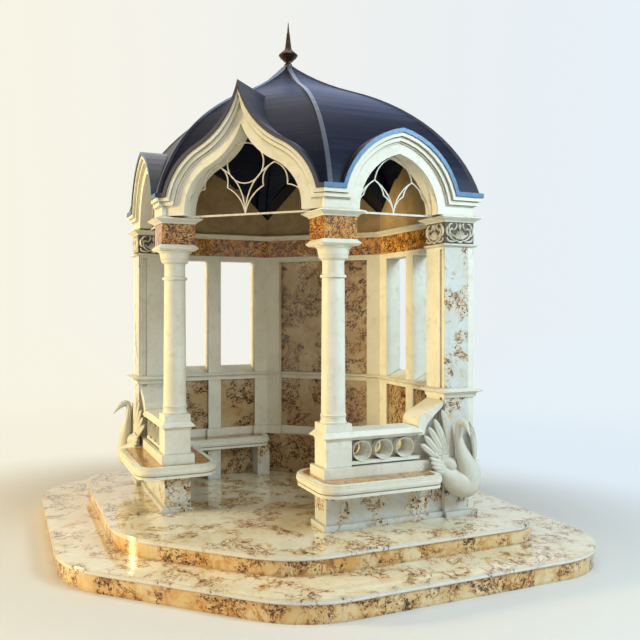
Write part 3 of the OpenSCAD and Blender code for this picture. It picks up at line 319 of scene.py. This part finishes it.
def marble(name, colors, veins, specks, stains, scale, shift, rough=0.16, coat=0.2, nosing_highlight=None):
    """Polished marble: a pale ground with golden stains, short rust veins and near-black grains along them.
    veins, specks and stains are 0 for none and 1 or more for all over. The nosing colour is a pale painted
    highlight on a tread's rounded edge."""
    ground, cloud, stain, rust, dark = colors
    veins_from = VEINS_FROM - GATHER_FALL * veins
    stains_from = STAINS_FROM - GATHER_FALL * stains
    specks_from = SPECKS_FROM - GATHER_FALL * specks
    g = Graph(name)
    wide = g.warp(g.moved(shift), 1.3 * scale, 0.22 / scale)
    fine = g.warp(wide, 9 * scale, 0.022 / scale)
    finer = g.warp(fine, 30 * scale, 0.007 / scale)
    haze = g.noise(fine, 7 * scale, 6, 0.66)
    color = g.mix(g.band(g.noise(wide, 2.4 * scale, 5, 0.6), 0.38, 0.66), ground, cloud)
    color = g.mix(g.times(g.band(haze, 0.46, 0.70), 0.24), color, stain)
    # where the veins gather, and golden patches among them
    herd = g.noise(wide, 3.6 * scale, 3, 0.55)
    herd_veins = g.band(herd, veins_from - 0.03, veins_from + 0.06)
    patches = g.times(g.band(g.noise(wide, 5.2 * scale, 4, 0.6), stains_from - 0.03, stains_from + 0.09),
                      g.band(haze, 0.38, 0.58))
    color = g.mix(g.times(patches, 0.75), color, stain)
    # short wavering veins with a golden halo
    ridge = g.ridge(fine, 5.0 * scale, 6, 0.62)
    small_ridge = g.ridge(finer, 12 * scale, 5, 0.62)
    net = g.cells(finer, 10 * scale)
    breaks = g.band(g.noise(fine, 17 * scale, 3, 0.6), 0.43, 0.54)
    long_lines = g.times(g.band(ridge, 0.024, 0.006), breaks)
    short_lines = g.larger(g.band(small_ridge, 0.028, 0.006), g.band(net, 0.075, 0.02))
    line = g.larger(long_lines, g.times(short_lines, breaks, 0.85))
    halo = g.larger(g.band(ridge, 0.085, 0.0), g.band(small_ridge, 0.08, 0.0))
    color = g.mix(g.times(halo, herd_veins, 0.48), color, stain)
    color = g.mix(g.times(line, g.larger(herd_veins, 0.15), 0.95), color, rust)
    # near-black grains strung along the veins
    herd_specks = g.band(herd, specks_from - 0.02, specks_from + 0.05)
    spot = g.node("TexVoronoi", {"Vector": finer, "Scale": GRAINS_PER_METRE * scale}).outputs
    chance = g.node("SeparateColor", {0: spot["Color"]}).outputs[0]
    sizes = {0: chance, 1: GRAIN_SPREAD, 2: SMALLEST_GRAIN + GRAIN_GROWTH * specks}
    size = g.node("Math", sizes, operation="MULTIPLY_ADD").outputs[0]
    grain = g.band(g.math("SUBTRACT", size, spot["Distance"]), 0.0, 0.10)
    zone = g.larger(g.band(ridge, 0.050 + 0.07 * specks, 0.028 + 0.04 * specks),
                    g.times(g.band(small_ridge, 0.050, 0.025), 0.95))
    clot = g.times(g.band(g.noise(finer, 26 * scale, 4, 0.6), 0.53, 0.58), g.band(ridge, 0.040, 0.015))
    grains = g.times(g.larger(g.times(grain, zone), clot), herd_specks)
    color = g.mix(g.times(grains, 0.95), color, dark)
    # painted highlight: a pale colour on the tread's faces that are not level, such as its rounded edge
    if nosing_highlight:
        level = g.math("ABSOLUTE", g.dot(g.normal(), UP))
        clean = g.less_one(g.times(grains, 0.8))
        color = g.mix(g.times(g.band(level, 0.985, 0.93), clean, 0.85), color, nosing_highlight)
    # painted shade in the marble's corners and creases
    color = g.corner_shade(color, 0.05, 0.55)
    g.bump(g.less_one(grains), 0.06, 0.001)
    polish = g.math("ADD", g.times(haze, 0.10), rough)
    return g.finish(color, polish, coat, coat_rough=0.03)


def limestone(name, base, shade, stain, rough=0.55, shift=(0, 0, 0)):
    """Honed pale stone: soft mottling, small pits, painted shade in its corners."""
    g = Graph(name)
    place = g.moved(shift)
    wide = g.warp(place, 2.0, 0.12)
    color = g.mix(g.band(g.noise(wide, 3.2, 6, 0.62), 0.38, 0.72), base, shade)
    color = g.mix(g.times(g.band(g.noise(wide, 11, 5, 0.65), 0.50, 0.72), 0.45), color, stain)
    pit = g.band(g.noise(place, 120, 3, 0.6), 0.64, 0.72)
    color = g.mix(g.times(pit, 0.40), color, shaded(stain, 0.55))
    # painted shade in the stone's corners and creases
    color = g.corner_shade(color, 0.028, 0.75, (0.45, 0.38, 0.28))
    height = g.math("SUBTRACT", g.times(g.noise(place, 70, 5, 0.65), 0.5), g.times(pit, 0.6))
    g.bump(height, 0.16, 0.003)
    return g.finish(color, rough)


def roof_metal(name, base, pale, side_rim_reflection=None, front_edge=None, lines=1.0, gloss=0.10):
    """Dark painted sheet with fine streaks along its courses, paler where it lies nearly level: dust with a
    painted sheen of the sky. The two edge colours are those of the arches' rims: on the side rims a painted
    reflection of the cool light, on the front rims their own colour."""
    g = Graph(name)
    streak = g.noise(g.stretched(g.warp(g.coord, 3, 0.01), ROOF_GAUGE), 1.0, 5, 0.65)
    course = g.noise(g.stretched(g.coord, ROOF_COURSES), 1.0, 3, 0.5)
    color = g.mix(g.times(g.band(streak, 0.50, 0.78), 0.7 * lines), base, pale)
    color = g.mix(g.times(g.band(course, 0.45, 0.75), 0.4 * lines), color, pale)
    color = g.mix(g.times(g.band(streak, 0.42, 0.25), 0.6), color, shaded(base, 0.35))
    normal = g.normal()
    # the side rims take a pale blue painted reflection of the cool light, made patchy by a wear noise
    if side_rim_reflection:
        first, second = (g.math("ABSOLUTE", g.dot(normal, way)) for way in SIDE_WALLS)
        front = g.math("ABSOLUTE", g.dot(normal, FRONT_BACK))
        wear = g.noise(g.coord, 22, 4, 0.6)
        worn_rim_reflection = g.mix(g.band(wear, 0.35, 0.7), side_rim_reflection, shaded(side_rim_reflection, 0.72))
        color = g.mix(g.band(g.larger(first, second), 0.93, 0.96), color, worn_rim_reflection)
        color = g.mix(g.band(front, 0.97, 0.985), color, front_edge)
    # dust and a painted sheen of the sky: paler where the roof faces up
    dust_and_sheen = g.times(g.band(g.dot(normal, UP), 0.62, 0.98), 0.70 * lines)
    color = g.mix(dust_and_sheen, color, shaded(pale, DUST_AND_SHEEN_PALER))
    g.bump(streak, 0.10, 0.002)
    rough = g.math("ADD", g.times(streak, 0.14), 0.30)
    return g.finish(color, rough, coat_rough=0.14, metallic=0.10, specular=gloss)


def painted_metal(name, base, worn, rough, metallic=0.0):
    g = Graph(name)
    n = g.noise(g.coord, 30, 5, 0.65)
    color = g.mix(g.band(n, 0.42, 0.72), base, worn)
    # painted shade in the metal's corners and creases
    color = g.corner_shade(color, 0.02, 0.5)
    g.bump(n, 0.10, 0.001)
    return g.finish(color, g.math("ADD", g.times(n, 0.2), rough - 0.1), coat_rough=0.1, metallic=metallic)


def render_coat(name, base, shade, inner_shade):
    """Gable plates in mottled render, with near-black painted shade on the inner faces round and behind them,
    for the dark inside of the roof. Faces there that look outwards carry the same render as the plates."""
    g = Graph(name)
    n = g.noise(g.warp(g.coord, 4, 0.05), 6, 6, 0.68)
    color = g.mix(g.band(n, 0.35, 0.68), base, shade)
    fine = g.noise(g.coord, 60, 5, 0.6)
    color = g.mix(g.times(g.band(fine, 0.5, 0.7), 0.35), color, shaded(shade, 0.6))

    def rearward(vector):
        """How far the vector goes back, and how far it goes out towards the nearer back side wall."""
        parts = g.node("SeparateXYZ", {0: vector}).outputs
        out = g.math("ADD", g.math("ABSOLUTE", parts["X"]), parts["Y"])
        return parts["Y"], g.math("DIVIDE", out, ROOT2)

    back, side = rearward(g.coord)
    beyond = g.larger(g.math("SUBTRACT", back, INNER_SHADE_BACK), g.math("SUBTRACT", side, INNER_SHADE_SIDE))
    outward = g.larger(*rearward(g.normal()))
    inner = g.times(g.math("GREATER_THAN", beyond, 0.0), g.math("LESS_THAN", outward, OUTER_FACE))
    # near-black painted shade on the inner faces behind the gables
    color = g.mix(inner, color, inner_shade)
    g.bump(fine, 0.25, 0.003)
    return g.finish(color, 0.7, coat_rough=0.1, specular=0.3)


def make_materials():
    """The slots' materials. A marble's five colours are its ground, clouds, stains, rust veins and grains."""
    return {
        "step_stone": marble(
            "step_riser_marble",
            ((0.74, 0.61, 0.37), (0.70, 0.50, 0.23), (0.60, 0.31, 0.080), (0.24, 0.075, 0.014), DARK_GRAIN),
            veins=0.72, specks=0.50, stains=0.74, scale=0.95, shift=(3, 1, 0)),
        # the treads' nosing colour is a painted highlight on their edges
        "step_marble": marble(
            "step_tread_marble",
            ((0.74, 0.70, 0.55), (0.70, 0.62, 0.43), (0.60, 0.36, 0.12), (0.26, 0.090, 0.018),
             (0.070, 0.024, 0.010)),
            veins=0.56, specks=0.36, stains=0.34, scale=0.90, shift=(0, 0, 0), rough=0.05, coat=0.4,
            nosing_highlight=(0.74, 0.73, 0.69)),
        "wall_marble": marble(
            "wall_marble",
            ((0.58, 0.625, 0.63), (0.555, 0.575, 0.54), (0.60, 0.42, 0.14), (0.30, 0.12, 0.03), DARK_GRAIN),
            veins=0.42, specks=0.36, stains=0.28, scale=0.9, shift=(7, 2, 1)),
        "panel_marble": marble(
            "panel_marble",
            ((0.48, 0.39, 0.25), (0.40, 0.28, 0.15), (0.34, 0.165, 0.048), (0.12, 0.038, 0.011), DARK_GRAIN),
            veins=0.66, specks=0.66, stains=0.45, scale=0.85, shift=(1, 9, 3)),
        "seat_marble": marble(
            "seat_marble",
            ((0.58, 0.41, 0.20), (0.50, 0.30, 0.11), (0.44, 0.20, 0.045), (0.20, 0.065, 0.012), DARK_GRAIN),
            veins=0.90, specks=0.42, stains=0.9, scale=1.5, shift=(4, 4, 4)),
        "frieze_marble": marble(
            "frieze_marble",
            ((0.66, 0.42, 0.11), (0.60, 0.29, 0.045), (0.50, 0.18, 0.02), (0.11, 0.032, 0.008), DARK_GRAIN),
            veins=1.3, specks=1.35, stains=0.95, scale=1.0, shift=(2, 5, 8)),
        "limestone": limestone("limestone", (0.70, 0.70, 0.63), (0.635, 0.62, 0.53), (0.50, 0.46, 0.36)),
        "carved_stone": limestone("carved_stone", (0.58, 0.58, 0.515), (0.52, 0.51, 0.44), (0.44, 0.42, 0.33),
                                  rough=0.5, shift=(5, 5, 5)),
        # near-black ground of the pier friezes: painted shade between the carved leaves
        "frieze_shade_ground": limestone("frieze_shade_ground", (0.085, 0.070, 0.050), (0.060, 0.048, 0.034),
                                   (0.045, 0.034, 0.022)),
        # the gables' third colour is near-black painted shade for their inner faces
        "gable_render": render_coat("gable_render", (0.40, 0.29, 0.155), (0.29, 0.20, 0.105),
                                    (0.02, 0.017, 0.016)),
        "white_metal": painted_metal("white_paint", (0.62, 0.62, 0.58), (0.50, 0.45, 0.35), rough=0.4),
        "roof_metal": roof_metal("roof_metal", (0.006, 0.008, 0.022), (0.022, 0.028, 0.056)),
        "bronze": painted_metal("dark_bronze", (0.040, 0.024, 0.016), (0.075, 0.042, 0.022), rough=0.3,
                                metallic=0.85),
    }


# ---------------------------------------------------------------- the CAD nodes' shading
def soft_shading(angle):
    """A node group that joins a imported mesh's split corners and shades it smooth up to this angle."""
    ng = bpy.data.node_groups.new("soft_shading", "GeometryNodeTree")
    for way in ("INPUT", "OUTPUT"):
        ng.interface.new_socket("Geometry", in_out=way, socket_type="NodeSocketGeometry")
    add, link = ng.nodes.new, ng.links.new
    start, end = add("NodeGroupInput"), add("NodeGroupOutput")
    merge = add("GeometryNodeMergeByDistance")
    merge.inputs["Distance"].default_value = MERGE_REACH
    drop = add("GeometryNodeRemoveAttribute")
    drop.inputs["Name"].default_value = "custom_normal"
    faces = add("GeometryNodeSetShadeSmooth")
    edges = add("GeometryNodeSetShadeSmooth")
    edges.domain = "EDGE"
    edges.inputs["Shade Smooth"].default_value = False
    fold = add("GeometryNodeInputMeshEdgeAngle")
    sharp = add("FunctionNodeCompare")
    sharp.operation = "GREATER_THAN"
    sharp.inputs[1].default_value = math.radians(angle)
    link(start.outputs[0], merge.inputs["Geometry"])
    link(merge.outputs[0], drop.inputs["Geometry"])
    link(drop.outputs[0], faces.inputs["Geometry"])
    link(faces.outputs[0], edges.inputs["Geometry"])
    link(fold.outputs["Unsigned Angle"], sharp.inputs[0])
    link(sharp.outputs[0], edges.inputs["Selection"])
    link(edges.outputs[0], end.inputs[0])
    return ng


def dress_nodes(mats):
    """Gives each CAD node its slot's material, or its own, and smooth shading."""
    slots = {s["node"]: s["material_slot"] for s in frame["record"]["subparts"]}
    own = {
        # the pier friezes' near-black ground is painted shade between the carved leaves
        "left_pier_frieze": mats["frieze_shade_ground"],
        "right_pier_frieze": mats["frieze_shade_ground"],
        # arch roofs: the side rims' pale blue is a painted reflection of the cool light
        "arch_roofs": roof_metal("arch_roof_metal", (0.012, 0.013, 0.024), (0.050, 0.054, 0.075),
                                 side_rim_reflection=(0.070, 0.155, 0.28), front_edge=(0.060, 0.058, 0.078), gloss=0.3),
        # the ribs' lighter colours paint a highlight along the dome's ridges
        "dome_ribs": roof_metal("rib_highlight_metal", (0.055, 0.060, 0.085), (0.10, 0.115, 0.16), lines=0.7,
                                gloss=0.3),
    }
    nodes_group, swans_group = soft_shading(SHARP_NODES), soft_shading(SHARP_SWANS)
    for name, obj in NODES.items():
        obj.data.materials.clear()
        obj.data.materials.append(own.get(name, mats[slots[name]]))
        mod = obj.modifiers.new("soft_shading", "NODES")
        mod.node_group = swans_group if "swan" in name else nodes_group


# ---------------------------------------------------------------- carving
MM = 0.001
WALL_LINE = 1.4                       # half of the plan's square
SWAN_X = 1.130                        # the swan's place along its wall
SWAN_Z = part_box("right_swan")[0].z
LEAF_BACK = 4.0                       # mm that a leaf's flat back lies behind its axis
SWELL_TO, TAPER_FROM = 0.45, 0.5      # a leaf widens up to, and narrows from, these shares of its length
NARROWEST = 0.6                       # mm, half a leaf's width at its very tip
RIB_WIDE = 0.13                       # of the midrib and its grooves, as a share of the leaf's half width
GROOVE_AT, GROOVE_DEEP = 0.30, 0.6    # the grooves' place, and their depth as a share of the rib's height
BALL_FLAT = 0.82                      # a carved body's depth as a share of its width
VOXEL = 0.006
SMOOTH_ROUNDS = 8

# Chains of balls: millimetres along the wall, out of it and up, and the radius
SWAN_BODY = [
    # flank of the near side
    [[(-112, 44, 250, 56), (-64, 54, 200, 86), (8, 78, 142, 122), (70, 96, 122, 138)],
     [(-130, 38, 305, 46), (-78, 44, 318, 58), (-25, 60, 290, 80)]],
    # breast, neck and head
    [[(112, 108, 112, 128), (135, 112, 150, 124), (122, 118, 235, 108), (84, 122, 335, 86),
      (42, 118, 450, 58), (20, 108, 560, 40), (26, 98, 645, 33), (46, 100, 696, 33), (56, 142, 704, 36),
      (57, 182, 684, 32), (50, 222, 646, 19), (44, 252, 612, 11), (39, 270, 594, 6)]],
    # far side
    [[(268, 34, 330, 24), (262, 44, 250, 44), (232, 58, 160, 70), (170, 74, 80, 78)]],
]
# Axes along and up, and half widths, of the near wing's long feathers, from the neck outwards
LONG_FEATHERS = [
    ([(-8, 330), (-18, 470), (-50, 640), (-111, 823)], 46),
    ([(-50, 350), (-84, 470), (-135, 610), (-191, 738)], 39),
    ([(-85, 350), (-126, 455), (-184, 560), (-246, 662)], 38),
    ([(-115, 345), (-160, 425), (-222, 505), (-289, 582)], 37),
    ([(-140, 335), (-190, 390), (-252, 447), (-320, 500)], 36),
]
# Tips, along and up, of the shorter rows over them
SECOND_ROW = [(-42, 500), (-102, 490), (-155, 458), (-202, 412)]
THIRD_ROW = [(-30, 376), (-78, 396), (-126, 396), (-172, 380), (-212, 350)]
FOURTH_ROW = [(-38, 334), (-88, 346), (-136, 342), (-178, 318)]
# Tips of the feathers along the back, and how far out each lies
BACK_FEATHERS = [((-256, 378), 70), ((-252, 334), 78), ((-240, 290), 86), ((-216, 246), 92)]
# Bow, half width and how far out, of the far wing's feathers
FAR_WING = [(0, 27, 18), (-26, 24, 34), (-48, 20, 46)]

# Half of a pier frieze's scrolls: axis across and up, half width, thickness
SCROLLS = [
    ([(14, 24), (62, 30), (104, 62), (118, 112), (92, 142), (68, 122)], 10.8, 16.9),
    ([(40, 26), (86, 16), (132, 26), (148, 60)], 10.08, 11.7),
    ([(104, 66), (138, 84), (148, 128), (140, 168)], 10.08, 13.0),
    ([(112, 110), (128, 150), (112, 184), (78, 190)], 10.08, 13.0),
    ([(70, 128), (44, 150), (34, 178), (52, 198)], 8.64, 11.7),
    ([(30, 30), (48, 60), (82, 78), (96, 104)], 7.92, 11.7),
]
SCROLL_MARGIN = 16                    # mm kept clear at a frieze's corners
SHELL_RIBS = 9
SHELL_FOOT = 38                       # height of the shell's hinge above the frieze's foot
SHELL_STEP = 17                       # degrees between its ribs
SHELL_REACH = 92                      # the middle rib's length, which falls by SHELL_FALL from rib to rib
SHELL_FALL = 5


def on_wall(along, out, up):
    """Millimetres from the swan's foot: along the right front wall, out of it, and up. Gives metres."""
    x, y = SWAN_X + along * MM, -out * MM
    return Vector(((x - y + WALL_LINE) / ROOT2, (x + y - WALL_LINE) / ROOT2, SWAN_Z + up * MM))


def curve_points(points, count):
    """Points at even steps of a smooth curve through the given ones, whatever number of values each has."""
    p = np.array(points, float)
    out = []
    for t in np.linspace(0, len(p) - 1, count):
        i = min(int(t), len(p) - 2)
        f = t - i
        a, b = p[i], p[i + 1]
        before = p[i - 1] if i > 0 else 2 * a - b
        after = p[i + 2] if i + 2 < len(p) else 2 * b - a
        out.append(0.5 * (2 * a + (b - before) * f + (2 * before - 5 * a + 4 * b - after) * f * f
                          + (3 * a - before - 3 * b + after) * f ** 3))
    return out


def leaf(bm, place, axis, half, thick, out, tip=0.9, root=0.35, rib=2.5, lift=0.0, across=11, along=26):
    """A carved leaf or feather, domed, with a raised midrib. Its axis is points (along, up), and place puts
    millimetres in the world. A larger tip makes its end blunter, a larger root its foot wider, and lift leans
    its tip out."""
    path = curve_points(axis, along)
    rings = []
    for i, q in enumerate(path):
        t = i / (along - 1)
        d = path[min(i + 1, along - 1)] - path[max(i - 1, 0)]
        d = d / (np.linalg.norm(d) + 1e-9)
        swell = root + (1 - root) * min(1.0, t / SWELL_TO) ** 0.7
        taper = max(0.0, 1 - max(0.0, (t - TAPER_FROM) / (1 - TAPER_FROM)) ** (2.2 * tip)) ** 0.62
        w = max(NARROWEST, half * swell * taper)
        lean = out + lift * t * t
        front, back = [], []
        for k in range(across):
            u = -1 + 2 * k / (across - 1)
            dome = (1 - u * u) ** 0.6
            groove = GROOVE_DEEP * math.exp(-((abs(u) - GROOVE_AT) / RIB_WIDE) ** 2)
            ridge = rib * (math.exp(-(u / RIB_WIDE) ** 2) - groove)
            h = (thick + ridge) * dome * min(1.0, w / half + 0.25)
            a, b = q[0] + d[1] * w * u, q[1] - d[0] * w * u
            front.append(bm.verts.new(place(a, lean + h, b)))
            back.append(bm.verts.new(place(a, lean - LEAF_BACK, b)))
        rings.append(front + back[::-1])
    n = len(rings[0])
    for r0, r1 in zip(rings, rings[1:]):
        for k in range(n):
            bm.faces.new((r0[k], r0[(k + 1) % n], r1[(k + 1) % n], r1[k]))
    bm.faces.new(rings[0][::-1])
    bm.faces.new(rings[-1])


def organic(place, chains):
    """A smooth carved body round chains of balls (along, out, up, radius)."""
    bm = bmesh.new()
    for chain in chains:
        for q in curve_points(chain, 5 * len(chain)):
            made = bmesh.ops.create_icosphere(bm, subdivisions=3, radius=1.0)
            for v in made["verts"]:
                c = v.co * q[3]
                v.co = place(q[0] + c.x, q[1] + c.y * BALL_FLAT, q[2] + c.z)
    me = bpy.data.meshes.new("organic")
    bm.to_mesh(me)
    bm.free()
    ob = bpy.data.objects.new("organic", me)
    scene.collection.objects.link(ob)
    remesh = ob.modifiers.new("remesh", "REMESH")
    remesh.mode = "VOXEL"
    remesh.voxel_size = VOXEL
    smooth = ob.modifiers.new("smooth", "SMOOTH")
    smooth.factor = 0.5
    smooth.iterations = SMOOTH_ROUNDS
    deps = bpy.context.evaluated_depsgraph_get()
    final = bpy.data.meshes.new_from_object(ob.evaluated_get(deps))
    bpy.data.objects.remove(ob)
    return final


def as_piece(name, bm, material, replaced=None, mirrored=False):
    """Turns a bmesh into a piece on the root body, in world metres."""
    if mirrored:
        for v in bm.verts:
            v.co.x = -v.co.x
    bmesh.ops.recalc_face_normals(bm, faces=bm.faces)
    me = bpy.data.meshes.new(name)
    bm.to_mesh(me)
    for poly in me.polygons:
        poly.use_smooth = True
    me.set_sharp_from_angle(angle=math.radians(SHARP_CARVING))
    ob = bpy.data.objects.new(name, me)
    scene.collection.objects.link(ob)
    me.materials.append(material)
    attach(ob, "root")
    if replaced:
        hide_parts(replaced)


def row_feather(bm, root_place, bend, tip_place, **shape):
    """A leaf from root_place to tip_place, through their middle moved by bend."""
    middle = [(r + t) / 2 + b for r, t, b in zip(root_place, tip_place, bend)]
    leaf(bm, on_wall, [root_place, middle, tip_place], **shape)


def swan(name, material, mirrored):
    bm = bmesh.new()
    for chains in SWAN_BODY:
        part = organic(on_wall, chains)
        bm.from_mesh(part)
        bpy.data.meshes.remove(part)
    for i, (axis, half) in enumerate(LONG_FEATHERS):
        leaf(bm, on_wall, axis, half, 14, out=42 - 3.5 * i, tip=1.35, root=0.6, lift=-14 - 8 * i, rib=3.0,
             across=13, along=34)
    for i, tip in enumerate(SECOND_ROW):
        row_feather(bm, (-40 - 18 * i, 340), (-10, 2.5), tip, half=35, thick=9, out=52 - 3.5 * i, tip=1.4,
                    root=0.6, lift=-6 - 3 * i, rib=2.2, along=22)
    for i, tip in enumerate(THIRD_ROW):
        row_feather(bm, (-70 - 6 * i, 285), (-4, 1), tip, half=35, thick=8, out=64 - 3 * i, tip=1.6, root=0.6,
                    rib=1.5, along=20)
    for i, tip in enumerate(FOURTH_ROW):
        row_feather(bm, (-72, 250), (-4, 3), tip, half=31, thick=8, out=76 - 4 * i, tip=1.6, root=0.6,
                    rib=1.2, along=18)
    for i, (tip, out) in enumerate(BACK_FEATHERS):
        row_feather(bm, (-70, 292 - 18 * i), (-8, -4), tip, half=27, thick=12, out=out, rib=1.5, lift=-34,
                    along=20)
    for i, (bow, half, out) in enumerate(FAR_WING):
        axis = [(248 + bow * 0.4, 210), (270 + bow * 0.6, 350), (268 + bow * 0.8, 470),
                (248 + bow, 590 - 10 * i), (206 + bow * 0.6, 690 - 40 * i)]
        leaf(bm, on_wall, axis, half, 16, out=out, lift=6)
    as_piece(name, bm, material, name.replace("_carved", ""), mirrored)


def frieze_carving(name, material, mirrored):
    """Acanthus scrolls and a shell on the three faces of a pier's frieze that show."""
    lo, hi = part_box("right_pier_frieze")
    centre = (lo + hi) / 2
    reach = (hi.y - lo.y) / 2 / ROOT2
    edge = reach / MM - SCROLL_MARGIN
    bm = bmesh.new()
    for nx, ny in ((1, -1), (1, 1), (-1, -1)):
        normal = Vector((nx, ny, 0)) / ROOT2
        across = Vector((-ny, nx, 0)) / ROOT2

        def place(a, out, b):
            p = centre + normal * (reach + out * MM) + across * (a * MM)
            return Vector((p.x, p.y, lo.z + b * MM))

        for k in range(SHELL_RIBS):
            k -= SHELL_RIBS // 2
            angle = math.radians(90 + k * SHELL_STEP)
            length = SHELL_REACH - SHELL_FALL * abs(k)
            axis = [(share * length * math.cos(angle), SHELL_FOOT + share * length * math.sin(angle))
                    for share in (0, 0.5, 1)]
            leaf(bm, place, axis, 8.5, 17, out=6, tip=1.8, rib=0.5, across=7, along=12)
        for side in (-1, 1):
            for right_axis, half, thick in SCROLLS:
                axis = [(side * min(a, edge), b) for a, b in right_axis]
                leaf(bm, place, axis, half, thick, out=6, rib=2, across=9, along=16)
        leaf(bm, place, [(0, 132), (0, 160), (0, 196)], 15, 18, out=6, across=9, along=14)
        leaf(bm, place, [(-30, 20), (0, 10), (30, 20)], 13, 20, out=3, rib=0, across=9, along=14)
    as_piece(name, bm, material, mirrored=mirrored)


make_camera()
for lamp in LAMPS:
    area_light(*lamp)
make_world()
make_stage()
mats = make_materials()
dress_nodes(mats)
for side in ("right", "left"):
    swan(side + "_swan_carved", mats["carved_stone"], side == "left")
    frieze_carving(side + "_pier_carving", mats["limestone"], side == "left")
scene.view_settings.view_transform = "Standard"
